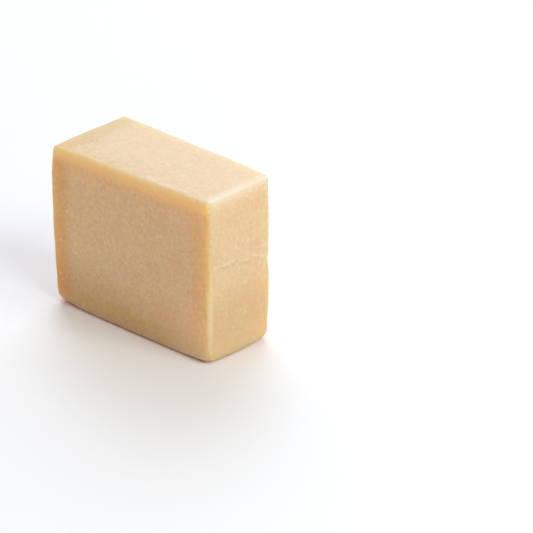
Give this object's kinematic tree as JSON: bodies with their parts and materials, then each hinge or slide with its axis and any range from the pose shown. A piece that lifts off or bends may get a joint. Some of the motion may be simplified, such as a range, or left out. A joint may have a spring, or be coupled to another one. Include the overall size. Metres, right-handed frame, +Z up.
{
  "type": "block of pecorino romano cheese",
  "caption": "Block of hard aged sheep's cheese with cut faces and rubbed edges, standing on a long narrow side.",
  "frame": {"origin": "middle of the flat foot that the block stands on", "axes": "+X along the block's long side towards the cracked end, +Y through it away from the broad front face, +Z up"},
  "size_m": [0.1126, 0.0504, 0.0909],
  "materials": {
    "cheese": "dense, slightly greasy cut cheese, ivory yellow with a deeper yellow dried skin at the edges"
  },
  "bodies": {
    "root": {"cheese_block": "cheese"}
  },
  "joints": []
}
